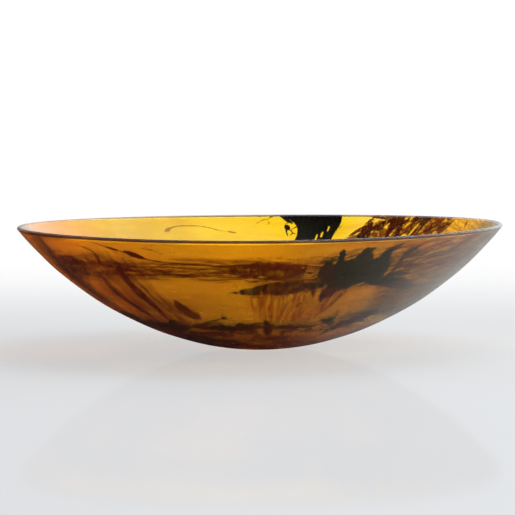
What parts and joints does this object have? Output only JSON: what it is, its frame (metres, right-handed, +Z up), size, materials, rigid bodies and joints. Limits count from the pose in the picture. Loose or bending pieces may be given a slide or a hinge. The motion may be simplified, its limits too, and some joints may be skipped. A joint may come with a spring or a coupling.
{
  "type": "art glass bowl",
  "caption": "Wide shallow hand-blown bowl of layered amber glass with dark streaks sealed between the layers, a thin flared lip and a small flat foot.",
  "frame": {"origin": "centre of the flat foot, on the surface that the bowl stands on", "axes": "+Z up along the bowl's axis of symmetry, -Y towards the front, +X to the right"},
  "size_m": [0.4494, 0.4494, 0.1159],
  "materials": {
    "casing_amber": "satin acid-etched amber glass",
    "overlay_amber": "clear amber glass, fused between the layers",
    "inner_yellow": "smooth lemon-yellow glass",
    "black_glass": "near-black smoky glass with soft edges",
    "brown_glass": "translucent red-brown glass",
    "grey_glass": "translucent grey-green glass"
  },
  "bodies": {
    "root": {"arch_thread_back": "brown_glass", "band_front": "brown_glass", "base_streak_left": "black_glass", "cloud_front": "black_glass", "drape_back": "brown_glass", "drape_front": "brown_glass", "drape_left_1": "brown_glass", "drape_left_2": "brown_glass", "drip_back": "black_glass", "edge_streak_left": "black_glass", "haze_streak_right": "grey_glass", "inner_layer": "inner_yellow", "leaf_left": "brown_glass", "low_cloud_back_1": "black_glass", "low_cloud_back_2": "black_glass", "low_cloud_front": "black_glass", "low_cloud_left": "black_glass", "low_cloud_middle": "black_glass", "low_cloud_right": "black_glass", "low_drip_front": "black_glass", "lump_thread_front": "black_glass", "outer_casing": "casing_amber", "plume_back_1": "brown_glass", "plume_back_2": "brown_glass", "plume_back_3": "brown_glass", "shard_back": "black_glass", "smoke_back": "brown_glass", "smoke_sheet_right": "grey_glass", "speckle_front": "brown_glass", "streak_overlay": "overlay_amber", "thread_back_1": "black_glass", "thread_back_2": "black_glass", "thread_front_right": "brown_glass", "tongue_front": "black_glass", "veil_left": "brown_glass", "wisp_left": "brown_glass"}
  },
  "joints": []
}
